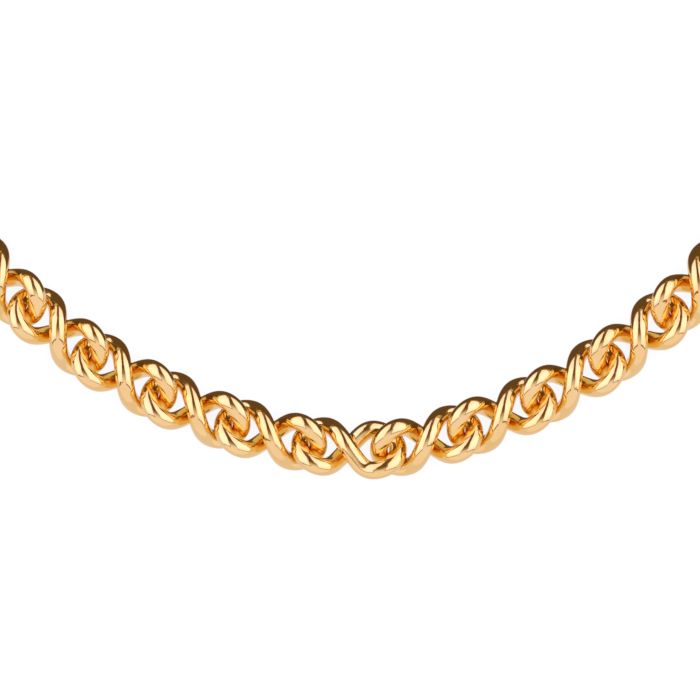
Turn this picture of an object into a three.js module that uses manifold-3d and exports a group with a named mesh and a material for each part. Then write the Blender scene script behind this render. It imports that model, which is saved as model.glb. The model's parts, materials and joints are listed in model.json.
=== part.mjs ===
// Chain necklace of twisted figure-eight links, lying open and face up.
// Millimetres. X runs across the necklace, Y from the front of the neck to the nape, Z up.
import * as THREE from 'three';
import { mergeVertices } from 'three/addons/utils/BufferGeometryUtils.js';
import Module from 'manifold-3d';

const wasm = await Module();
wasm.setup();

// Driving dimensions of the chain.
const WIRE_RADIUS = 1.26;
const PITCH = 11.4;
const LINKS_PER_SIDE = 17;
const HOOK_PLAY = 0.16;
const LINK_REACH = PITCH / 2 + WIRE_RADIUS + HOOK_PLAY / 2;
const LOOP_HALF_WIDTH = 2.96;

// Shape of a link's wire: how square its plan is, and how far it weaves in height.
const PLAN_THIRD = -0.133;
const PLAN_FIFTH = 0.037;
const WIDTH_SIXTH = 0.02;
const WEAVE_FIRST = -0.35;
const WEAVE_THIRD = 1.9;
const CENTRE_THIRD = 0.8;
const CENTRE_FIFTH = -0.3;

// How the chain lies: the centre link leans a little, then every link turns by the same angle.
const CENTRE_LEAN = -THREE.MathUtils.degToRad(4);
const FIRST_HEADING = THREE.MathUtils.degToRad(14.7);
const TURN_PER_LINK = THREE.MathUtils.degToRad(7.6);
const MID_HEIGHT = 3.5;

// Facets of the round wires.
const LINK_STEPS = 28;
const RING_STEPS = 20;
const WIRE_SIDES = 8;

// End fittings.
const FITTING_PLAY = 0.2;
const JUMP_WIRE_RADIUS = 0.55;
const JUMP_RADIUS = 3.1;
const JUMP_ROLL = THREE.MathUtils.degToRad(28);
const JUMP_DROP = 0.25;
const CATCH_WIRE_RADIUS = 0.65;
const CATCH_RADIUS = 3.85;
const CATCH_PITCH = THREE.MathUtils.degToRad(19);

// Lobster clasp, measured from the centre of its eye towards its nose.
const CLASP_PITCH = THREE.MathUtils.degToRad(5);
const EYE_HOLE_RADIUS = 1.4;
const EYE_RIM = 1.1;
const EYE_SET = 0.35;
const EYE_THICKNESS = 1.4;
const CLAW_THICKNESS = 3.4;
const CLAW_CENTRE_X = 9.2;
const CLAW_HALF_LENGTH = 6.8;
const CLAW_HALF_WIDTH = 4.5;
const MOUTH_CENTRE = new THREE.Vector2(10.4, 0.2);
const MOUTH_HALF_LENGTH = 4.2;
const MOUTH_HALF_WIDTH = 2.55;
const EDGE_ROUND = 0.45;
const PIVOT = new THREE.Vector2(5.2, -1.9);
const PIN_RADIUS = 0.45;
const PIN_PLAY = 0.08;
const PIN_RECESS = 0.05;
const GATE_START = 7.2;
const GATE_END = 13.05;
const GATE_GAP = 0.4;
const GATE_INNER_Y = -0.9;
const GATE_THICKNESS = 3;
const TONGUE_RADIUS = 1.35;
const TONGUE_THICKNESS = 1.2;
const SLOT_THICKNESS = 1.5;
const SLOT_START = 2.5;
const SLOT_INNER_Y = 0.4;
const TAB_LENGTH = 1.3;
const TAB_WIDTH = 1.5;
const SPRING_STRIP = 0.25;
const SPRING_WIDTH = 0.8;
const SPRING_LENGTH = 1.7;
const SPRING_DEPTH = 0.9;

const FINISHES = {
  link: { color: 0xe0aa4a, roughness: 0.12, metalness: 1 },
  ring: { color: 0xdca545, roughness: 0.16, metalness: 1 },
  clasp: { color: 0xdca545, roughness: 0.18, metalness: 1 },
  pin: { color: 0xc8923a, roughness: 0.25, metalness: 1 },
  spring: { color: 0xb9bcc0, roughness: 0.3, metalness: 1 },
};

// ---------------------------------------------------------------- wire paths

// The figure eight in plan, woven in height so that each end loop is tipped about the chain's length.
class LinkPath extends THREE.Curve {
  constructor(side) {
    super();
    this.side = side;
  }

  getPoint(t, target = new THREE.Vector3()) {
    const angle = 2 * Math.PI * t;
    const reach = LINK_REACH / (1 - PLAN_THIRD + PLAN_FIFTH);
    const plan = Math.sin(angle) + PLAN_THIRD * Math.sin(3 * angle) + PLAN_FIFTH * Math.sin(5 * angle);
    const width = Math.sin(2 * angle) + WIDTH_SIXTH * Math.sin(6 * angle);
    const x = reach * plan;
    return target.set(this.mirror() * x, LOOP_HALF_WIDTH * width, this.height(angle, x));
  }

  mirror() {
    return this.side > 0 ? -1 : 1;
  }

  // The centre link's right loop is tipped the other way, so that it hooks the mirrored half.
  height(angle, x) {
    if (this.side === 0 && x > 0) {
      const waist = WEAVE_FIRST + WEAVE_THIRD + CENTRE_THIRD + CENTRE_FIFTH;
      const weave = CENTRE_THIRD * Math.cos(3 * angle) + CENTRE_FIFTH * Math.cos(5 * angle);
      return weave - waist * Math.cos(angle);
    }
    return -WEAVE_FIRST * Math.cos(angle) - WEAVE_THIRD * Math.cos(3 * angle);
  }
}

class RingPath extends THREE.Curve {
  constructor(radius) {
    super();
    this.radius = radius;
  }

  getPoint(t, target = new THREE.Vector3()) {
    const angle = 2 * Math.PI * t;
    return target.set(this.radius * Math.cos(angle), this.radius * Math.sin(angle), 0);
  }
}

// ---------------------------------------------------------------- geometry helpers

// A wire whose two ends are soldered together. One flat of its section faces the inside of the
// bend a quarter of the way round, where the next piece hangs.
function closedWire(path, radius, steps) {
  const frames = path.computeFrenetFrames(steps, true);
  const quarter = steps / 4;
  const inward = path.getPointAt(quarter / steps).negate().setY(0).setZ(0).normalize();
  const offset = Math.atan2(inward.dot(frames.binormals[quarter]), inward.dot(frames.normals[quarter]));
  const positions = [];
  const indices = [];
  for (let step = 0; step < steps; step += 1) {
    const centre = path.getPointAt(step / steps);
    for (let side = 0; side < WIRE_SIDES; side += 1) {
      const angle = offset + (2 * Math.PI * (side + 0.5)) / WIRE_SIDES;
      const corner = centre.clone();
      corner.addScaledVector(frames.normals[step], radius * Math.cos(angle));
      corner.addScaledVector(frames.binormals[step], radius * Math.sin(angle));
      positions.push(corner.x, corner.y, corner.z);
      const nextStep = (step + 1) % steps;
      const nextSide = (side + 1) % WIRE_SIDES;
      const a = step * WIRE_SIDES + side;
      const b = nextStep * WIRE_SIDES + side;
      const c = nextStep * WIRE_SIDES + nextSide;
      const d = step * WIRE_SIDES + nextSide;
      indices.push(a, d, b, b, d, c);
    }
  }
  return indexedGeometry(new Float32Array(positions), indices);
}

function indexedGeometry(positions, indices) {
  const geometry = new THREE.BufferGeometry();
  geometry.setAttribute('position', new THREE.BufferAttribute(positions, 3));
  geometry.setIndex(Array.from(indices));
  geometry.computeVertexNormals();
  return geometry;
}

function solidFrom(geometry) {
  const bare = geometry.clone();
  bare.deleteAttribute('normal');
  bare.deleteAttribute('uv');
  const merged = mergeVertices(bare, 1e-4);
  return new wasm.Manifold(new wasm.Mesh({
    numProp: 3,
    vertProperties: merged.attributes.position.array,
    triVerts: Uint32Array.from(merged.index.array),
  }));
}

function geometryFrom(solid) {
  const mesh = solid.getMesh();
  return indexedGeometry(mesh.vertProperties, mesh.triVerts);
}

// A plate of the given outline, centred on the clasp's mid plane, with its edges bevelled by `round`.
function plate(shape, thickness, round = 0) {
  const geometry = new THREE.ExtrudeGeometry(shape, {
    depth: thickness - 2 * round,
    curveSegments: 14,
    bevelEnabled: round > 0,
    bevelSize: round,
    bevelThickness: round,
    bevelOffset: -round,
    bevelSegments: 2,
  });
  geometry.translate(0, 0, -(thickness - 2 * round) / 2);
  return solidFrom(geometry);
}

function ellipse(x, y, halfLength, halfWidth) {
  const shape = new THREE.Shape();
  shape.absellipse(x, y, halfLength, halfWidth, 0, 2 * Math.PI);
  return shape;
}

function rectangle(left, right, low, high) {
  const corners = [[left, low], [right, low], [right, high], [left, high]];
  return new THREE.Shape(corners.map(([x, y]) => new THREE.Vector2(x, y)));
}

// ---------------------------------------------------------------- pieces

function makeMesh(name, geometry, finish) {
  const mesh = new THREE.Mesh(geometry, new THREE.MeshStandardMaterial(FINISHES[finish]));
  mesh.name = name;
  return mesh;
}

function linkName(side, count) {
  if (side === 0) return 'link_centre';
  return `link_${side < 0 ? 'left' : 'right'}_${String(count).padStart(2, '0')}`;
}

function makeLink(side, count) {
  return makeMesh(linkName(side, count), closedWire(new LinkPath(side), WIRE_RADIUS, LINK_STEPS), 'link');
}

function makeRing(name, radius, wireRadius) {
  return makeMesh(name, closedWire(new RingPath(radius), wireRadius, RING_STEPS), 'ring');
}

function clawPlate() {
  return plate(ellipse(CLAW_CENTRE_X, 0, CLAW_HALF_LENGTH, CLAW_HALF_WIDTH), CLAW_THICKNESS, EDGE_ROUND);
}

function mouthHole() {
  const outline = ellipse(MOUTH_CENTRE.x, MOUTH_CENTRE.y, MOUTH_HALF_LENGTH, MOUTH_HALF_WIDTH);
  return plate(outline, CLAW_THICKNESS + 1);
}

function pinHole() {
  return plate(ellipse(PIVOT.x, PIVOT.y, PIN_RADIUS + PIN_PLAY, PIN_RADIUS + PIN_PLAY), CLAW_THICKNESS + 1);
}

// The claw: eye, tail block with a slot for the gate's tongue, back arm and hooked nose.
function makeClaspBody() {
  const deep = CLAW_THICKNESS + 1;
  const outside = -CLAW_HALF_WIDTH - 1;
  const eyeRadius = EYE_HOLE_RADIUS + EYE_RIM;
  const eye = plate(ellipse(0, 0, eyeRadius, eyeRadius), EYE_THICKNESS);
  const eyeHole = plate(ellipse(0, 0, EYE_HOLE_RADIUS, EYE_HOLE_RADIUS), deep);
  const neck = plate(rectangle(eyeRadius / 2, SLOT_START + 1, -eyeRadius / 2, eyeRadius / 2), EYE_THICKNESS);
  const gateWayTop = GATE_INNER_Y + GATE_GAP;
  const gateWay = plate(rectangle(GATE_START - GATE_GAP, GATE_END + GATE_GAP, outside, gateWayTop), deep);
  const slot = plate(rectangle(SLOT_START, GATE_START, outside, SLOT_INNER_Y), SLOT_THICKNESS);
  const body = clawPlate().add(eye).add(neck)
    .subtract(eyeHole)
    .subtract(mouthHole())
    .subtract(gateWay)
    .subtract(slot)
    .subtract(pinHole());
  return makeMesh('clasp_body', geometryFrom(body), 'clasp');
}

// The gate: an arm that closes the mouth, a thin tongue round the pin and a tab for the thumbnail.
function makeClaspLever() {
  const outside = -CLAW_HALF_WIDTH;
  const arm = clawPlate()
    .intersect(plate(rectangle(GATE_START, GATE_END, outside, GATE_INNER_Y), GATE_THICKNESS))
    .subtract(mouthHole());
  const boss = plate(ellipse(PIVOT.x, PIVOT.y, TONGUE_RADIUS, TONGUE_RADIUS), TONGUE_THICKNESS);
  const tongueOutline = rectangle(PIVOT.x, GATE_START + 1, PIVOT.y - TONGUE_RADIUS, GATE_INNER_Y);
  const tongue = plate(tongueOutline, TONGUE_THICKNESS).subtract(mouthHole());
  const tabRoot = PIVOT.y - TONGUE_RADIUS;
  const tabOutline = rectangle(GATE_START, GATE_START + TAB_WIDTH, outside - TAB_LENGTH, tabRoot);
  const tab = plate(tabOutline, TONGUE_THICKNESS);
  const lever = arm.add(boss).add(tongue).add(tab).subtract(pinHole());
  return makeMesh('clasp_lever', geometryFrom(lever), 'clasp');
}

function makeClaspPin() {
  const length = CLAW_THICKNESS - 2 * PIN_RECESS;
  const geometry = new THREE.CylinderGeometry(PIN_RADIUS, PIN_RADIUS, length, 16);
  geometry.rotateX(Math.PI / 2);
  geometry.translate(PIVOT.x, PIVOT.y, 0);
  return makeMesh('clasp_pin', geometry, 'pin');
}

// A hairpin of flat strip in the bottom of the slot, behind the tongue.
function makeClaspSpring() {
  const left = SLOT_START + FITTING_PLAY;
  const right = left + SPRING_DEPTH;
  const high = SLOT_INNER_Y - FITTING_PLAY;
  const low = high - SPRING_LENGTH;
  const outer = plate(rectangle(left, right, low, high), SPRING_WIDTH);
  const inner = plate(rectangle(left + SPRING_STRIP, right - SPRING_STRIP, low - 1, high - SPRING_STRIP), 2);
  return makeMesh('clasp_spring', geometryFrom(outer.subtract(inner)), 'spring');
}

// ---------------------------------------------------------------- layout

function step(point, heading, distance) {
  const direction = new THREE.Vector3(Math.cos(heading), Math.sin(heading), 0);
  return point.clone().addScaledVector(direction, distance);
}

// Lays one side of the chain outwards from the centre link and returns the frame of its free end:
// the origin on the last link's outer wire, X pointing on along the chain.
function laySide(necklace, side, centreOfChain) {
  let centre = centreOfChain;
  let heading = CENTRE_LEAN;
  for (let count = 1; count <= LINKS_PER_SIDE; count += 1) {
    const knot = step(centre, heading, (side * PITCH) / 2);
    heading = side * (FIRST_HEADING + (count - 1) * TURN_PER_LINK);
    centre = step(knot, heading, (side * PITCH) / 2);
    const link = makeLink(side, count);
    link.position.copy(centre);
    link.rotation.z = heading;
    necklace.add(link);
  }
  const end = new THREE.Group();
  end.position.copy(step(centre, heading, side * LINK_REACH));
  end.rotation.z = side > 0 ? heading : heading + Math.PI;
  necklace.add(end);
  return end;
}

// A jump ring through the last link's end loop, rolled so that it meets the tipped wire squarely.
function addJumpRing(end, side) {
  const ring = makeRing(`jump_ring_${side < 0 ? 'left' : 'right'}`, JUMP_RADIUS, JUMP_WIRE_RADIUS);
  const holder = new THREE.Group();
  holder.position.set(JUMP_RADIUS - JUMP_WIRE_RADIUS - WIRE_RADIUS - FITTING_PLAY, 0, -JUMP_DROP);
  holder.rotation.x = -side * JUMP_ROLL;
  ring.rotation.x = Math.PI / 2;
  holder.add(ring);
  end.add(holder);
  return holder.position.x + JUMP_RADIUS - JUMP_WIRE_RADIUS;
}

function addCatchRing(end, innerEdge) {
  const pivot = new THREE.Group();
  pivot.position.set(innerEdge - CATCH_WIRE_RADIUS - FITTING_PLAY, 0, -JUMP_DROP);
  pivot.rotation.y = CATCH_PITCH;
  const ring = makeRing('catch_ring', CATCH_RADIUS, CATCH_WIRE_RADIUS);
  ring.position.x = CATCH_RADIUS;
  pivot.add(ring);
  end.add(pivot);
}

function addClasp(end, innerEdge) {
  const clasp = new THREE.Group();
  clasp.position.set(innerEdge + JUMP_WIRE_RADIUS + EYE_SET, 0, -JUMP_DROP);
  clasp.rotation.y = CLASP_PITCH;
  clasp.add(makeClaspBody());
  clasp.add(makeClaspLever());
  clasp.add(makeClaspPin());
  clasp.add(makeClaspSpring());
  end.add(clasp);
}

// Puts the origin under the middle of the necklace, on the surface it lies on.
function settle(necklace) {
  necklace.updateMatrixWorld(true);
  const box = new THREE.Box3().setFromObject(necklace, true);
  const middle = box.getCenter(new THREE.Vector3());
  necklace.position.set(-middle.x, -middle.y, -box.min.z);
}

function makeNecklace() {
  const necklace = new THREE.Group();
  const centreOfChain = new THREE.Vector3(0, 0, MID_HEIGHT);
  const centreLink = makeLink(0, 0);
  centreLink.position.copy(centreOfChain);
  centreLink.rotation.z = CENTRE_LEAN;
  necklace.add(centreLink);
  const leftEnd = laySide(necklace, -1, centreOfChain);
  const rightEnd = laySide(necklace, 1, centreOfChain);
  addCatchRing(leftEnd, addJumpRing(leftEnd, -1));
  addClasp(rightEnd, addJumpRing(rightEnd, 1));
  settle(necklace);
  return necklace;
}

export default makeNecklace();
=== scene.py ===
"""Looks of the chain necklace: fine, mirror-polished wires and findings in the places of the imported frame.

The frame is in metres, with +Y from the front of the necklace to the nape and +Z up from the surface.
Shapes are worked out in millimetres, as in the CAD model, and scaled as they are placed.
"""
import json
import math

import bpy
from mathutils import Matrix, Vector


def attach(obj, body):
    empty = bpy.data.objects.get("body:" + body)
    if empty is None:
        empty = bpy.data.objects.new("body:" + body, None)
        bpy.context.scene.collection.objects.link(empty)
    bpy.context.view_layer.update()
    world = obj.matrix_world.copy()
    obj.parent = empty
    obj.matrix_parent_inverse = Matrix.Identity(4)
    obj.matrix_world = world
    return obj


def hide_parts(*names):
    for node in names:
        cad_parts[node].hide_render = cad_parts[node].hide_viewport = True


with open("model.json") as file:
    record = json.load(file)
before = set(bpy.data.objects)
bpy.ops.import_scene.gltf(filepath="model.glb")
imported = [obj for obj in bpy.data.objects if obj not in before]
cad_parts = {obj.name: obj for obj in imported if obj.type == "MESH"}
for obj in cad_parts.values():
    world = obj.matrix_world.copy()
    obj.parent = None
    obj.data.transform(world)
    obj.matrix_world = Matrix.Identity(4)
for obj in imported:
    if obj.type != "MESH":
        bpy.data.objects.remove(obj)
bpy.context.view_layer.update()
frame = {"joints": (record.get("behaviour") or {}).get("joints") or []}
joints = {joint["name"]: joint for joint in frame["joints"]}

MM = 0.001

# Chain.
WIRE_RADIUS = 1.26
PITCH = 11.4
LINKS_PER_SIDE = 17
HOOK_PLAY = 0.16
LINK_REACH = PITCH / 2 + WIRE_RADIUS + HOOK_PLAY / 2
LOOP_HALF_WIDTH = 2.96
PLAN_THIRD = -0.133
PLAN_FIFTH = 0.037
WIDTH_SIXTH = 0.02
WEAVE_FIRST = -0.35
WEAVE_THIRD = 1.9
CENTRE_THIRD = 0.8
CENTRE_FIFTH = -0.3
CENTRE_LEAN = -math.radians(4)
FIRST_HEADING = math.radians(14.7)
TURN_PER_LINK = math.radians(7.6)

# The visible wire is a full round, a little thicker than the CAD wire, which is flat-sided for collision.
# Its loops reach a little further, so that neighbouring links still clear each other.
ROUND_RADIUS = 1.3
ROUND_PLAY = 0.06
ROUND_REACH = PITCH / 2 + ROUND_RADIUS + ROUND_PLAY / 2
CENTRE_EXTRA_REACH = 0.09

# End fittings.
FITTING_PLAY = 0.2
JUMP_WIRE_RADIUS = 0.55
JUMP_RADIUS = 3.1
JUMP_ROLL = math.radians(28)
JUMP_DROP = 0.25
JUMP_CUT_ANGLE = math.radians(118)
JUMP_CUT_WIDTH = 0.05
JUMP_CUT_CHAMFER = 0.04
JUMP_CUT_RADIUS = 0.93 * JUMP_WIRE_RADIUS
CATCH_WIRE_RADIUS = 0.65
CATCH_RADIUS = 3.85
CATCH_PITCH = math.radians(19)
CATCH_SEAM_ANGLE = math.radians(75)

# Lobster clasp, measured from the centre of its eye towards its nose.
CLASP_PITCH = math.radians(5)
EYE_HOLE_RADIUS = 1.4
EYE_RIM = 1.1
EYE_SET = 0.35
EYE_THICKNESS = 1.4
NECK_LAP = 1.7
NECK_START_HALF_WIDTH = 1.15
NECK_SPREAD = 0.95
NECK_START_HALF_THICKNESS = 0.62
NECK_RISE = 0.86
CLAW_THICKNESS = 3.4
CLAW_CENTRE_X = 9.2
CLAW_HALF_LENGTH = 6.8
CLAW_HALF_WIDTH = 4.5
MOUTH_CENTRE = (10.4, 0.2)
MOUTH_HALF_LENGTH = 4.2
MOUTH_HALF_WIDTH = 2.55
PIVOT = (5.2, -1.9)
PIN_RADIUS = 0.45
PIN_PLAY = 0.08
PIN_RECESS = 0.05
PIN_HOLE_RADIUS = PIN_RADIUS + PIN_PLAY
GATE_START = 7.2
GATE_END = 13.05
GATE_GAP = 0.4
GATE_INNER_Y = -0.9
GATE_THICKNESS = 3
TONGUE_RADIUS = 1.35
TONGUE_THICKNESS = 1.2
SLOT_THICKNESS = 1.5
SLOT_START = 2.5
SLOT_INNER_Y = 0.4
TAB_LENGTH = 1.3
TAB_WIDTH = 1.5
TAB_ROOT_Y = -3.0
TAB_TAPER = 0.12
TAB_ROUND_START = 0.72
SPRING_STRIP = 0.25
SPRING_WIDTH = 0.8
SPRING_LENGTH = 1.7
SPRING_DEPTH = 0.9
SPRING_TRIM = 0.4
BODY_EDGE = 0.09
LEVER_EDGE = 0.07
OUTSIDE_Y = -CLAW_HALF_WIDTH - 1

# How square the rounded sections are; 2 is round.
CLAW_SQUARENESS = 3.2
EYE_SQUARENESS = 2.6
BAR_SQUARENESS = 3
STRIP_SQUARENESS = 7

# Finish of the metal. Each gold has a pale and a rich tone.
LINK_TONES = ((0.93, 0.705, 0.265), (0.93, 0.675, 0.225))
FITTING_TONES = ((0.92, 0.695, 0.265), (0.91, 0.655, 0.215))
PIN_TONES = ((0.88, 0.61, 0.26), (0.84, 0.55, 0.2))
# Painted shade: the darker, redder tone of the crevice where one link's wire bears on the next, which is
# also rubbed rougher there.
RUBBED_AND_SHADED_TONE = (0.83, 0.54, 0.2)
SEAM_TONE = (0.93, 0.7, 0.36)
STEEL_TONES = ((0.62, 0.63, 0.65), (0.66, 0.6, 0.5))
RUB_AND_SHADE_LENGTH = 1.5
SEAM_LENGTH = 0.32
SEAM_RISE = 0.02
HAIRLINE = 0.0045
HAIRLINE_DEPTH = 0.001
HAIRLINE_STRETCH = 0.12
HAIRLINE_SETS = (
    ((0.4, 0.9, 0.3), 2.4),
    ((1.3, 0.2, 1.1), 3.1),
    ((0.2, 1.6, 2.2), 2.0),
    ((2.1, 0.7, 0.4), 3.7),
)

# Studio, as seen from the necklace: places are parts of the unit vector that points there,
# and levels are brightnesses.
WHITE_WALL = 0.97
DARK_WALL = 0.13
DIM_WALL = 0.24
SOFTBOX_CORE = 1.5
SOFTBOX_EDGE = 1.2
SOFTBOX_FRONT = -0.4
SOFTBOX_GAP_FRONT = 0.33
SOFTBOX_GAP_BACK = 0.17
FRAME_WIDTH = 0.03
FRAME_LEVEL = 0.25
PAPER = 0.85
SHADED_PAPER = 0.13
OPEN_LEVEL = 1.1
WHITE_TINT = (1, 0.875, 1.08)
SOFTBOX_TINT = (1, 0.9, 1.4)
DARK_TINT = (1, 0.56, 0.31)

# Floor.
FLOOR_SIZE = 8
FLOOR_DROP = 0.1
CONTACT_REACH = 6
CONTACT_SHADE = 0.85

# Camera, in millimetres from the middle of the chain.
VIEW_WIDTH = 100.6
CAMERA_OFFSET = (0.2, 14.1, 700)
SENSOR_WIDTH = 36

# Fineness of the visible meshes.
LINK_STEPS = 168
RING_STEPS = 120
WIRE_SIDES = 28
CLAW_STEPS = 144
CLAW_SIDES = 36
MOUTH_SIDES = 96
BOSS_SIDES = 72
PIN_SIDES = 40
BEND_STEPS = 24


# ---------------------------------------------------------------- meshes

def bare_object(name, vertices, faces):
    """An object in the scene, with no material and on no body yet."""
    mesh = bpy.data.meshes.new(name)
    mesh.from_pydata([tuple(vertex) for vertex in vertices], [], faces)
    mesh.update()
    piece = bpy.data.objects.new(name, mesh)
    bpy.context.scene.collection.objects.link(piece)
    return piece


def finish_piece(piece, body, node, material, place):
    """Puts a piece shaped in millimetres where it belongs and hands it to the frame."""
    piece.data.transform(place @ Matrix.Scale(MM, 4))
    piece.data.polygons.foreach_set("use_smooth", [True] * len(piece.data.polygons))
    piece.data.materials.clear()
    piece.data.materials.append(material)
    piece.data.update()
    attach(piece, body)
    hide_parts(node)


def add_attribute(piece, name, values):
    """A number at each vertex, for the material to read."""
    layer = piece.data.attributes.new(name, "FLOAT", "POINT")
    layer.data.foreach_set("value", values)


def sections_mesh(sections, closed):
    """Vertices and faces of a skin through rings of points; an open one gets a flat face at each end."""
    sides = len(sections[0])
    vertices = [point for section in sections for point in section]
    faces = []
    count = len(sections)
    for i in range(count if closed else count - 1):
        here, there = i * sides, ((i + 1) % count) * sides
        for j in range(sides):
            k = (j + 1) % sides
            faces.append((here + j, here + k, there + k, there + j))
    if not closed:
        faces.append(tuple(reversed(range(sides))))
        faces.append(tuple((count - 1) * sides + j for j in range(sides)))
    return vertices, faces


def round_section(centre, out, side, radius):
    points = []
    for j in range(WIRE_SIDES):
        angle = 2 * math.pi * j / WIRE_SIDES
        points.append(centre + (out * math.cos(angle) + side * math.sin(angle)) * radius)
    return points


def closed_wire(points, radii):
    """Sections of a round wire along a closed line, without twist where it closes."""
    count = len(points)
    tangents = [(points[(i + 1) % count] - points[i - 1]).normalized() for i in range(count)]
    normals = [tangents[0].orthogonal().normalized()]
    for i in range(1, count + 1):
        turn = tangents[i - 1].rotation_difference(tangents[i % count])
        normals.append(turn @ normals[-1])
    first, last = normals[0], normals[-1]
    gap = math.atan2(last.cross(first).dot(tangents[0]), last.dot(first))
    sections = []
    for i, centre in enumerate(points):
        untwist = Matrix.Rotation(gap * i / count, 3, tangents[i])
        out = untwist @ normals[i]
        sections.append(round_section(centre, out, tangents[i].cross(out), radii[i]))
    return sections


def bell(distance, width):
    """1 at no distance, falling to 0 either way over about twice the width."""
    return math.exp(-((distance / width) ** 2))


# ---------------------------------------------------------------- chain

def link_height(side, angle, x):
    """The centre link's right loop is tipped the other way, so that it hooks the mirrored half."""
    if side == 0 and x > 0:
        waist = WEAVE_FIRST + WEAVE_THIRD + CENTRE_THIRD + CENTRE_FIFTH
        weave = CENTRE_THIRD * math.cos(3 * angle) + CENTRE_FIFTH * math.cos(5 * angle)
        return weave - waist * math.cos(angle)
    return -WEAVE_FIRST * math.cos(angle) - WEAVE_THIRD * math.cos(3 * angle)


def link_point(side, angle):
    """A point of the wire's centre line in the link's own frame, with X along the chain."""
    plan = math.sin(angle) + PLAN_THIRD * math.sin(3 * angle) + PLAN_FIFTH * math.sin(5 * angle)
    width = math.sin(2 * angle) + WIDTH_SIXTH * math.sin(6 * angle)
    reach = ROUND_REACH + (CENTRE_EXTRA_REACH if side == 0 and plan > 0 else 0)
    x = reach * plan / (1 - PLAN_THIRD + PLAN_FIFTH)
    mirror = -1 if side > 0 else 1
    return Vector((mirror * x, LOOP_HALF_WIDTH * width, link_height(side, angle, x)))


def rubbed_and_shaded(vertex, centre):
    """1 where the next link's wire bears on the inside of an end loop, fading to 0 away from it. The
    material makes that place rougher, as real wear, and darker and redder, as painted shade in the crevice
    between the links.
    """
    end = Vector((math.copysign(ROUND_REACH, centre.x), 0, 0))
    inward = (vertex - centre).normalized().dot(-end.normalized())
    return bell((centre - end).length, RUB_AND_SHADE_LENGTH) * max(0.0, inward) ** 2


def make_link(name, side, place, material):
    """One wire bent into a figure eight and soldered on its back strand, where the two strands cross."""
    points = [link_point(side, 2 * math.pi * i / LINK_STEPS) for i in range(LINK_STEPS)]
    seam = [bell((point - points[0]).length, SEAM_LENGTH) for point in points]
    radii = [ROUND_RADIUS * (1 + SEAM_RISE * swell) for swell in seam]
    sections = closed_wire(points, radii)
    piece = bare_object(name + "_wire", *sections_mesh(sections, closed=True))
    # Where the next link's wire bears: real wear, and painted shade in the crevice between the links.
    rub_and_shade = []
    for centre, section in zip(points, sections):
        rub_and_shade += [rubbed_and_shaded(vertex, centre) for vertex in section]
    add_attribute(piece, "rub_and_shade", rub_and_shade)
    add_attribute(piece, "seam", [swell for swell in seam for _ in range(WIRE_SIDES)])
    finish_piece(piece, name, name, material, place)


def step(point, heading, distance):
    """The point that far away along a heading, at the same height."""
    return point + Vector((math.cos(heading), math.sin(heading), 0)) * distance


def placed(point, heading):
    return Matrix.Translation(point) @ Matrix.Rotation(heading, 4, "Z")


def lay_chain(material):
    """Lays the links outwards from the centre. Returns the middle and each side's last wire."""
    left_wire = Vector(joints["swing_left_01"]["pos_m"])
    right_wire = Vector(joints["swing_right_01"]["pos_m"])
    middle = (left_wire + right_wire) / 2
    make_link("link_centre", 0, placed(middle, CENTRE_LEAN), material)
    ends = {}
    for side, word in ((-1, "left"), (1, "right")):
        centre, heading = middle, CENTRE_LEAN
        for count in range(1, LINKS_PER_SIDE + 1):
            knot = step(centre, heading, side * PITCH / 2 * MM)
            heading = side * (FIRST_HEADING + (count - 1) * TURN_PER_LINK)
            centre = step(knot, heading, side * PITCH / 2 * MM)
            make_link(f"link_{word}_{count:02d}", side, placed(centre, heading), material)
        last_wire = step(centre, heading, side * LINK_REACH * MM)
        ends[side] = placed(last_wire, heading if side > 0 else heading + math.pi)
    return middle, ends


# ---------------------------------------------------------------- rings

def torus_sections(radius, wire_radii, angles):
    """Sections of a wire ring that lies flat, one at each angle."""
    sections = []
    for wire_radius, angle in zip(wire_radii, angles):
        out = Vector((math.cos(angle), math.sin(angle), 0))
        sections.append(round_section(out * radius, out, Vector((0, 0, 1)), wire_radius))
    return sections


def shifted(x, z=0.0):
    """A move along the chain and up, given in millimetres."""
    return Matrix.Translation(Vector((x, 0, z)) * MM)


def make_jump_ring(name, side, end, material):
    """A ring cut from a coil and closed: its two ends butt together with a hairline between them."""
    half_cut = JUMP_CUT_WIDTH / JUMP_RADIUS / 2
    chamfer = JUMP_CUT_CHAMFER / JUMP_RADIUS
    start = JUMP_CUT_ANGLE + half_cut
    stop = JUMP_CUT_ANGLE + 2 * math.pi - half_cut
    length = stop - start - 2 * chamfer
    inner = [start + chamfer + length * i / RING_STEPS for i in range(RING_STEPS + 1)]
    angles = [start, *inner, stop]
    radii = [JUMP_CUT_RADIUS, *[JUMP_WIRE_RADIUS] * len(inner), JUMP_CUT_RADIUS]
    sections = torus_sections(JUMP_RADIUS, radii, angles)
    piece = bare_object(name + "_wire", *sections_mesh(sections, closed=False))
    hang = shifted(JUMP_RADIUS - JUMP_WIRE_RADIUS - WIRE_RADIUS - FITTING_PLAY, -JUMP_DROP)
    roll = Matrix.Rotation(-side * JUMP_ROLL, 4, "X") @ Matrix.Rotation(math.pi / 2, 4, "X")
    finish_piece(piece, name, name, material, end @ hang @ roll)


def jump_ring_inner_edge():
    """How far the far inner edge of a jump ring is from the wire that it hangs on."""
    return 2 * (JUMP_RADIUS - JUMP_WIRE_RADIUS) - WIRE_RADIUS - FITTING_PLAY


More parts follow.
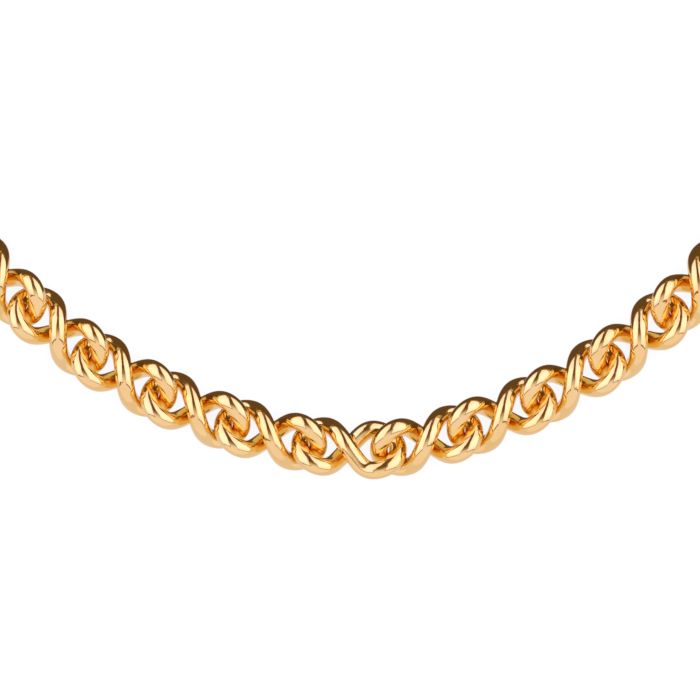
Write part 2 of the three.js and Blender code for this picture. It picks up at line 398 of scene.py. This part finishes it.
def make_catch_ring(end, material):
    """A heavier ring, soldered shut, that the clasp closes on."""
    angles = [2 * math.pi * i / RING_STEPS for i in range(RING_STEPS)]
    seam = [bell((angle - CATCH_SEAM_ANGLE) * CATCH_RADIUS, SEAM_LENGTH / 2) for angle in angles]
    radii = [CATCH_WIRE_RADIUS * (1 + SEAM_RISE * swell) for swell in seam]
    sections = torus_sections(CATCH_RADIUS, radii, angles)
    piece = bare_object("catch_ring_wire", *sections_mesh(sections, closed=True))
    add_attribute(piece, "seam", [swell for swell in seam for _ in range(WIRE_SIDES)])
    pivot = shifted(jump_ring_inner_edge() - CATCH_WIRE_RADIUS - FITTING_PLAY, -JUMP_DROP)
    tilt = Matrix.Rotation(CATCH_PITCH, 4, "Y")
    place = end @ pivot @ tilt @ shifted(CATCH_RADIUS)
    finish_piece(piece, "catch_ring", "catch_ring", material, place)


# ---------------------------------------------------------------- clasp

def superellipse(angle, power):
    """A point of a rounded square of half width 1; the power says how square it is, with 2 a circle."""
    x, y = math.cos(angle), math.sin(angle)
    return math.copysign(abs(x) ** (2 / power), x), math.copysign(abs(y) ** (2 / power), y)


def padded_section(centre, across, half_width, half_thickness, power=CLAW_SQUARENESS):
    """A rounded section that stands on Z, its width along `across`."""
    points = []
    for j in range(CLAW_SIDES):
        u, v = superellipse(2 * math.pi * j / CLAW_SIDES, power)
        points.append(centre + across * u * half_width + Vector((0, 0, v * half_thickness)))
    return points


def claw_ring(name, half_thickness):
    """The whole claw before anything is cut from it: a crowned bar that runs right round the mouth."""
    sections = []
    for i in range(CLAW_STEPS):
        angle = 2 * math.pi * i / CLAW_STEPS
        x, y = math.cos(angle), math.sin(angle)
        outer = Vector((CLAW_CENTRE_X + CLAW_HALF_LENGTH * x, CLAW_HALF_WIDTH * y, 0))
        inner = Vector((*MOUTH_CENTRE, 0)) + Vector((MOUTH_HALF_LENGTH * x, MOUTH_HALF_WIDTH * y, 0))
        across = outer - inner
        middle = (outer + inner) / 2
        sections.append(padded_section(middle, across.normalized(), across.length / 2, half_thickness))
    return bare_object(name, *sections_mesh(sections, closed=True))


def eye_ring():
    """The rounded ring that the jump ring goes through."""
    sections = []
    middle = EYE_HOLE_RADIUS + EYE_RIM / 2
    steps = CLAW_STEPS // 2
    for i in range(steps):
        angle = 2 * math.pi * i / steps
        out = Vector((math.cos(angle), math.sin(angle), 0))
        sections.append(padded_section(out * middle, out, EYE_RIM / 2, EYE_THICKNESS / 2, EYE_SQUARENESS))
    return bare_object("eye", *sections_mesh(sections, closed=True))


def bar(name, axis, stations):
    """A rounded bar along an axis, through stations of (centre, half width, half thickness)."""
    across = Vector((0, 0, 1)).cross(axis)
    sections = []
    for centre, width, thick in stations:
        sections.append(padded_section(Vector((*centre, 0)), across, width, thick, BAR_SQUARENESS))
    return bare_object(name, *sections_mesh(sections, closed=False))


def neck_bar():
    """Swells from the eye's rim into the tail block."""
    start, stop, steps = EYE_HOLE_RADIUS + EYE_RIM / 3, SLOT_START + NECK_LAP, 10
    stations = []
    for i in range(steps + 1):
        t = i / steps
        half_width = NECK_START_HALF_WIDTH + NECK_SPREAD * t * t * (3 - 2 * t)
        half_thickness = NECK_START_HALF_THICKNESS + NECK_RISE * math.sin(t * math.pi / 2)
        stations.append(((start + (stop - start) * t, 0), half_width, half_thickness))
    return bar("neck", Vector((1, 0, 0)), stations)


def tab_bar():
    """The thumbnail tab: it leans back a little and its end is rounded."""
    tip, steps = -CLAW_HALF_WIDTH - TAB_LENGTH, 14
    stations = []
    for i in range(steps + 1):
        t = i / steps
        past_round = max(0.0, (t - TAB_ROUND_START) / (1 - TAB_ROUND_START))
        end_round = math.sqrt(max(0.02, 1 - past_round ** 2))
        half_width = TAB_WIDTH / 2 - TAB_TAPER * t
        centre = (GATE_START + half_width, TAB_ROOT_Y + (tip - TAB_ROOT_Y) * t)
        stations.append((centre, half_width * end_round, TONGUE_THICKNESS / 2 * end_round))
    return bar("tab", Vector((0, -1, 0)), stations)


def block(name, left, right, low, high, half_thickness):
    """A plain box, used only to cut with, to keep what is inside it, or as the tongue's web."""
    corners = [(x, y, z) for z in (-half_thickness, half_thickness)
               for x, y in ((left, low), (right, low), (right, high), (left, high))]
    faces = [(3, 2, 1, 0), (4, 5, 6, 7), (0, 1, 5, 4), (1, 2, 6, 5), (2, 3, 7, 6), (3, 0, 4, 7)]
    return bare_object(name, corners, faces)


def level_ring(centre, radii, z, sides, sense=1):
    """Points round a circle or ellipse at one height; a sense of -1 goes clockwise."""
    points = []
    for j in range(sides):
        angle = sense * 2 * math.pi * j / sides
        x = centre[0] + radii[0] * math.cos(angle)
        y = centre[1] + radii[1] * math.sin(angle)
        points.append(Vector((x, y, z)))
    return points


def drum(name, centre, radii, half_thickness, sides):
    """A cylinder on Z, round or elliptical."""
    sections = [level_ring(centre, radii, z, sides) for z in (-half_thickness, half_thickness)]
    return bare_object(name, *sections_mesh(sections, closed=False))


def combine(piece, operation, other):
    """Joins, cuts or keeps by another solid, which is used up."""
    modifier = piece.modifiers.new(operation, "BOOLEAN")
    modifier.operation = operation
    modifier.solver = "EXACT"
    modifier.object = other
    apply_modifiers(piece)
    bpy.data.objects.remove(other)


def apply_modifiers(piece):
    """Gives the piece the mesh that its modifiers make of it."""
    evaluated = piece.evaluated_get(bpy.context.evaluated_depsgraph_get())
    mesh = bpy.data.meshes.new_from_object(evaluated)
    piece.modifiers.clear()
    piece.data = mesh


def soften_edges(piece, width):
    """Breaks the cut edges, as tumbling does."""
    modifier = piece.modifiers.new("softened", "BEVEL")
    modifier.width = width
    modifier.segments = 3
    modifier.limit_method = "ANGLE"
    modifier.angle_limit = math.radians(32)
    modifier.use_clamp_overlap = True
    apply_modifiers(piece)


def claw_frame(end):
    """Where the clasp hangs: the centre of its eye, just inside the far edge of the jump ring."""
    place = shifted(jump_ring_inner_edge() + JUMP_WIRE_RADIUS + EYE_SET, -JUMP_DROP)
    return end @ place @ Matrix.Rotation(CLASP_PITCH, 4, "Y")


def pin_hole():
    """Cuts the hole that the pin turns in."""
    return drum("pin_hole", PIVOT, (PIN_HOLE_RADIUS, PIN_HOLE_RADIUS), CLAW_THICKNESS, PIN_SIDES)


def make_claw(place, material):
    """Eye, neck, slotted tail block, back arm and hooked nose, in one casting."""
    claw = claw_ring("clasp_claw", CLAW_THICKNESS / 2)
    combine(claw, "UNION", neck_bar())
    combine(claw, "UNION", eye_ring())
    left, right, high = GATE_START - GATE_GAP, GATE_END + GATE_GAP, GATE_INNER_Y + GATE_GAP
    combine(claw, "DIFFERENCE", block("gate_way", left, right, OUTSIDE_Y, high, CLAW_THICKNESS))
    slot = block("slot", SLOT_START, GATE_START, OUTSIDE_Y, SLOT_INNER_Y, SLOT_THICKNESS / 2)
    combine(claw, "DIFFERENCE", slot)
    combine(claw, "DIFFERENCE", pin_hole())
    soften_edges(claw, BODY_EDGE)
    finish_piece(claw, "clasp", "clasp_body", material, place)


def make_gate(place, material):
    """The arm that closes the mouth, with its tongue round the pin and its thumbnail tab."""
    half = TONGUE_THICKNESS / 2
    gate = claw_ring("clasp_gate", GATE_THICKNESS / 2)
    keep = block("keep", GATE_START, GATE_END, OUTSIDE_Y, GATE_INNER_Y, CLAW_THICKNESS)
    combine(gate, "INTERSECT", keep)
    tongue = block("tongue", PIVOT[0], GATE_START + 1, PIVOT[1] - TONGUE_RADIUS, GATE_INNER_Y, half)
    mouth_radii = (MOUTH_HALF_LENGTH, MOUTH_HALF_WIDTH)
    combine(tongue, "DIFFERENCE", drum("mouth", MOUTH_CENTRE, mouth_radii, CLAW_THICKNESS, MOUTH_SIDES))
    combine(tongue, "UNION", drum("boss", PIVOT, (TONGUE_RADIUS, TONGUE_RADIUS), half, BOSS_SIDES))
    combine(gate, "UNION", tongue)
    combine(gate, "UNION", tab_bar())
    combine(gate, "DIFFERENCE", pin_hole())
    soften_edges(gate, LEVER_EDGE)
    finish_piece(gate, "clasp_lever", "clasp_lever", material, place)


def make_rivet(place, material):
    """The pin, its two ends peened tight in the cheeks and left as low domes."""
    half = CLAW_THICKNESS / 2 - PIN_RECESS
    head = PIN_HOLE_RADIUS - 0.01
    cheek = SLOT_THICKNESS / 2
    # Radii and heights, from the crown of a head down to the shank in the slot.
    dome = [(0.02, half), (0.25, half - 0.02), (0.4, half - 0.06), (head - 0.03, half - 0.12)]
    shank = [(head, half - 0.17), (head, cheek + 0.1), (PIN_RADIUS, cheek + 0.05)]
    stations = dome + shank
    stations += [(radius, -height) for radius, height in reversed(stations)]
    sections = []
    for radius, height in stations:
        sections.append(level_ring(PIVOT, (radius, radius), height, PIN_SIDES, sense=-1))
    piece = bare_object("clasp_rivet", *sections_mesh(sections, closed=False))
    finish_piece(piece, "clasp", "clasp_pin", material, place)


def make_hairpin(place, material):
    """The spring: a flat strip bent round in the bottom of the slot."""
    left = SLOT_START + FITTING_PLAY + SPRING_STRIP / 2
    right = SLOT_START + FITTING_PLAY + SPRING_DEPTH - SPRING_STRIP / 2
    bend = (right - left) / 2
    high = SLOT_INNER_Y - FITTING_PLAY
    centre = Vector(((left + right) / 2, high - SPRING_STRIP / 2 - bend, 0))
    low = high - SPRING_LENGTH
    points = [(Vector((left, low + SPRING_TRIM, 0)), Vector((1, 0, 0)))]
    for i in range(BEND_STEPS + 1):
        angle = math.pi - math.pi * i / BEND_STEPS
        out = Vector((math.cos(angle), math.sin(angle), 0))
        points.append((centre + out * bend, -out))
    points.append((Vector((right, low, 0)), Vector((-1, 0, 0))))
    sections = []
    for point, inward in points:
        section = padded_section(point, inward, SPRING_STRIP / 2, SPRING_WIDTH / 2, STRIP_SQUARENESS)
        sections.append(section)
    piece = bare_object("clasp_hairpin", *sections_mesh(sections, closed=False))
    finish_piece(piece, "clasp", "clasp_spring", material, place)


# ---------------------------------------------------------------- node graphs

class Graph:
    """Short names for the nodes that the materials and the studio are made of."""

    def __init__(self, tree):
        self.nodes = tree.nodes
        self.links = tree.links

    def set(self, socket, value):
        if isinstance(value, bpy.types.NodeSocket):
            self.links.new(value, socket)
        else:
            socket.default_value = value

    def math(self, operation, *values):
        node = self.nodes.new("ShaderNodeMath")
        node.operation = operation
        for socket, value in zip(node.inputs, values):
            self.set(socket, value)
        return node.outputs[0]

    def product(self, *values):
        result = values[0]
        for value in values[1:]:
            result = self.math("MULTIPLY", result, value)
        return result

    def ramp(self, value, low, high):
        """0 below low, 1 above high and smooth between; falls instead where low is the greater."""
        node = self.nodes.new("ShaderNodeMapRange")
        node.interpolation_type = "SMOOTHSTEP"
        self.set(node.inputs["Value"], value)
        self.set(node.inputs["From Min"], low)
        self.set(node.inputs["From Max"], high)
        return node.outputs["Result"]

    def blend(self, factor, low, high):
        node = self.nodes.new("ShaderNodeMix")
        node.data_type = "FLOAT"
        for index, value in ((0, factor), (2, low), (3, high)):
            self.set(node.inputs[index], value)
        return node.outputs[0]

    def blend_colour(self, factor, low, high):
        node = self.nodes.new("ShaderNodeMix")
        node.data_type = "RGBA"
        for index, value in ((0, factor), (6, low), (7, high)):
            self.set(node.inputs[index], value)
        return node.outputs[2]

    def noise(self, place, scale, detail=2.0, distortion=0.0):
        node = self.nodes.new("ShaderNodeTexNoise")
        self.set(node.inputs["Vector"], place)
        self.set(node.inputs["Scale"], scale)
        self.set(node.inputs["Detail"], detail)
        self.set(node.inputs["Distortion"], distortion)
        return node.outputs[0]

    def mapped(self, place, turn=(0, 0, 0), scale=(1, 1, 1)):
        node = self.nodes.new("ShaderNodeMapping")
        self.set(node.inputs["Vector"], place)
        self.set(node.inputs["Rotation"], turn)
        self.set(node.inputs["Scale"], scale)
        return node.outputs[0]

    def millimetres(self):
        coordinates = self.nodes.new("ShaderNodeTexCoord")
        return self.mapped(coordinates.outputs["Object"], scale=(1 / MM, 1 / MM, 1 / MM))

    def attribute(self, name):
        node = self.nodes.new("ShaderNodeAttribute")
        node.attribute_name = name
        return node.outputs["Fac"]

    def scratches(self, place, turn, density):
        """Fine, straight, broken hairlines: where a stretched noise passes through its middle value."""
        turned = self.mapped(place, turn)
        stretched = self.mapped(turned, scale=(HAIRLINE_STRETCH, density, HAIRLINE_STRETCH))
        line = self.math("ABSOLUTE", self.math("SUBTRACT", self.noise(stretched, 1.0, 0.0), 0.5))
        broken = self.ramp(self.noise(turned, 0.8, 2.0), 0.5, 0.58)
        reach = HAIRLINE * density
        return self.product(self.ramp(line, reach, reach / 3), broken)

    def bump(self, height, depth):
        """Relief of `depth` millimetres where the height goes from 0 to 1."""
        node = self.nodes.new("ShaderNodeBump")
        self.set(node.inputs["Distance"], depth * MM)
        self.set(node.inputs["Height"], height)
        return node.outputs[0]


# ---------------------------------------------------------------- materials

def new_material(name):
    material = bpy.data.materials.new(name)
    material.use_nodes = True
    return material, Graph(material.node_tree), material.node_tree.nodes["Principled BSDF"]


def make_gold(name, tones, roughness, wave, scratching):
    """Polished gold plate: uneven tone, a polisher's soft waves, hairline scratches, and rubbed bearings
    that are rougher and carry painted shade, a darker, redder tone, in the crevice between links.

    The waves are `wave` millimetres deep, and a scratch is rougher than the plate by `scratching`.
    """
    material, graph, shader = new_material(name)
    place = graph.millimetres()
    rub_and_shade = graph.attribute("rub_and_shade")
    seam = graph.attribute("seam")
    tone = graph.ramp(graph.noise(place, 0.16, 3.0), 0.36, 0.66)
    plate = graph.blend_colour(tone, *[(*colour, 1) for colour in tones])
    # Painted shade: a darker, redder tone in the crevice where the next link's wire bears on an end loop.
    plate = graph.blend_colour(graph.math("MULTIPLY", rub_and_shade, 0.45), plate, (*RUBBED_AND_SHADED_TONE, 1))
    plate = graph.blend_colour(graph.math("MULTIPLY", seam, 0.6), plate, (*SEAM_TONE, 1))
    lines = graph.scratches(place, *HAIRLINE_SETS[0])
    for turn, density in HAIRLINE_SETS[1:]:
        lines = graph.math("MAXIMUM", lines, graph.scratches(place, turn, density))
    haze = graph.ramp(graph.noise(place, 2.6, 4.0), 0.42, 0.72)
    dull = graph.math("ADD", roughness, graph.math("MULTIPLY", haze, 0.05))
    dull = graph.math("MULTIPLY_ADD", lines, scratching, dull)
    dull = graph.math("MULTIPLY_ADD", rub_and_shade, 0.14, dull)
    dull = graph.math("MULTIPLY_ADD", seam, 0.12, dull)
    waves = graph.noise(place, 0.75, 1.0, 0.4)
    relief = graph.math("MULTIPLY_ADD", graph.noise(place, 3.2, 2.0), 0.06, waves)
    relief = graph.math("MULTIPLY_ADD", lines, -HAIRLINE_DEPTH / wave, relief)
    graph.set(shader.inputs["Base Color"], plate)
    graph.set(shader.inputs["Roughness"], dull)
    graph.set(shader.inputs["Normal"], graph.bump(relief, wave))
    shader.inputs["Metallic"].default_value = 1.0
    return material


def make_spring_steel():
    """Bright strip with rolling lines along it and a straw tinge from heat."""
    material, graph, shader = new_material("spring_steel")
    place = graph.millimetres()
    tinge = graph.ramp(graph.noise(place, 0.8, 2.0), 0.4, 0.65)
    rolled = graph.noise(graph.mapped(place, scale=(9, 9, 42)), 1.0, 3.0)
    steel = graph.blend_colour(tinge, *[(*colour, 1) for colour in STEEL_TONES])
    graph.set(shader.inputs["Base Color"], steel)
    graph.set(shader.inputs["Roughness"], graph.math("MULTIPLY_ADD", rolled, 0.22, 0.14))
    graph.set(shader.inputs["Normal"], graph.bump(rolled, 0.004))
    shader.inputs["Metallic"].default_value = 1.0
    return material


def make_paper():
    """White paper that lets the view through, so that links which swing below it still show.

    It is shaded softly where something lies close above it.
    """
    material, graph, shader = new_material("pale_floor")
    fibre = graph.noise(graph.millimetres(), 0.6, 5.0)
    openness = graph.nodes.new("ShaderNodeAmbientOcclusion")
    openness.samples = 16
    openness.inputs["Distance"].default_value = CONTACT_REACH * MM
    shade = graph.blend(openness.outputs["AO"], CONTACT_SHADE, 1.0)
    pane = graph.nodes.new("ShaderNodeBsdfTransparent")
    graph.set(pane.inputs["Color"], graph.product(shade, graph.blend(fibre, 0.93, 0.99)))
    graph.links.new(pane.outputs[0], graph.nodes["Material Output"].inputs["Surface"])
    graph.nodes.remove(shader)
    return material


# ---------------------------------------------------------------- stage

def make_floor():
    """The sheet of paper that the necklace lies on; the metal mirrors the studio's paper instead."""
    bpy.ops.mesh.primitive_plane_add(size=FLOOR_SIZE, location=(0, 0, -FLOOR_DROP * MM))
    floor = bpy.context.object
    floor.name = "floor"
    floor.data.materials.append(make_paper())
    floor.visible_glossy = False


def make_camera(middle):
    """Looks straight down on the front of the necklace."""
    data = bpy.data.cameras.new("camera")
    camera = bpy.data.objects.new("camera", data)
    bpy.context.scene.collection.objects.link(camera)
    data.sensor_width = SENSOR_WIDTH
    data.lens = SENSOR_WIDTH * CAMERA_OFFSET[2] / VIEW_WIDTH
    data.clip_start = 0.01
    camera.location = middle + Vector(CAMERA_OFFSET) * MM
    bpy.context.scene.camera = camera


def make_studio():
    """A softbox on each side, a dark wall beyond the nape, white in front and white paper underneath.

    Only the metal's reflections see it; the camera sees plain white.
    """
    world = bpy.data.worlds.new("studio")
    bpy.context.scene.world = world
    world.use_nodes = True
    graph = Graph(world.node_tree)
    coordinates = graph.nodes.new("ShaderNodeTexCoord")
    split = graph.nodes.new("ShaderNodeSeparateXYZ")
    graph.set(split.inputs[0], coordinates.outputs["Generated"])
    x, y, z = split.outputs
    # Walls: white in front, falling gradually to dark behind, where they are dim low down.
    dark = graph.blend(graph.ramp(z, 0.7, 0.1), DARK_WALL, DIM_WALL)
    level = graph.blend(graph.ramp(y, 0.53, -0.5), dark, WHITE_WALL)
    # Softboxes on both sides, closing in towards the back, brightest in the middle, with dark frames.
    gap = graph.blend(graph.ramp(y, 0.0, 0.8), SOFTBOX_GAP_FRONT, SOFTBOX_GAP_BACK)
    past_edge = graph.math("SUBTRACT", graph.math("ABSOLUTE", x), gap)
    frame_front = SOFTBOX_FRONT - 2 * FRAME_WIDTH
    framed = graph.product(
        graph.ramp(past_edge, -FRAME_WIDTH, 0),
        graph.ramp(y, frame_front - FRAME_WIDTH, frame_front),
        graph.ramp(z, 0, FRAME_WIDTH),
    )
    level = graph.blend(framed, level, FRAME_LEVEL)
    lit = graph.product(
        graph.ramp(past_edge, 0, 0.05),
        graph.ramp(y, SOFTBOX_FRONT - 0.03, SOFTBOX_FRONT + 0.03),
        graph.ramp(z, FRAME_WIDTH, 3 * FRAME_WIDTH),
    )
    core = graph.product(graph.ramp(past_edge, 0, 0.3), graph.ramp(y, -0.4, 0), graph.ramp(y, 0.95, 0.5))
    level = graph.blend(lit, level, graph.blend(core, SOFTBOX_EDGE, SOFTBOX_CORE))
    # Paper below the horizon: white in front, dim where the dark wall shades it.
    shaded = graph.product(graph.ramp(y, 0.08, 0.3), graph.ramp(z, -0.97, -0.9))
    level = graph.blend(graph.ramp(z, 0.02, -0.04), level, graph.blend(shaded, PAPER, SHADED_PAPER))
    colour = graph.blend_colour(graph.ramp(level, 0.34, 0.62), (*DARK_TINT, 1), (*WHITE_TINT, 1))
    colour = graph.blend_colour(graph.ramp(level, 0.9, 1.05), colour, (*SOFTBOX_TINT, 1))
    background = graph.nodes["Background"]
    path = graph.nodes.new("ShaderNodeLightPath")
    plain = path.outputs["Is Camera Ray"]
    graph.set(background.inputs["Strength"], graph.blend(plain, level, OPEN_LEVEL))
    graph.set(background.inputs["Color"], graph.blend_colour(plain, colour, (1, 1, 1, 1)))


# ---------------------------------------------------------------- scene


bpy.context.scene.view_settings.view_transform = "Standard"
bpy.context.scene.cycles.glossy_bounces = 12
link_gold = make_gold("polished_gold", LINK_TONES, roughness=0.035, wave=0.03, scratching=0.12)
fitting_gold = make_gold("fitting_gold", FITTING_TONES, roughness=0.09, wave=0.02, scratching=0.2)
pin_gold = make_gold("pin_gold", PIN_TONES, roughness=0.2, wave=0.015, scratching=0.3)
middle_of_chain, chain_ends = lay_chain(link_gold)
make_jump_ring("jump_ring_left", -1, chain_ends[-1], fitting_gold)
make_jump_ring("jump_ring_right", 1, chain_ends[1], fitting_gold)
make_catch_ring(chain_ends[-1], fitting_gold)
clasp_place = claw_frame(chain_ends[1])
make_claw(clasp_place, fitting_gold)
make_gate(clasp_place, fitting_gold)
make_rivet(clasp_place, pin_gold)
make_hairpin(clasp_place, make_spring_steel())
make_floor()
make_camera(middle_of_chain)
make_studio()
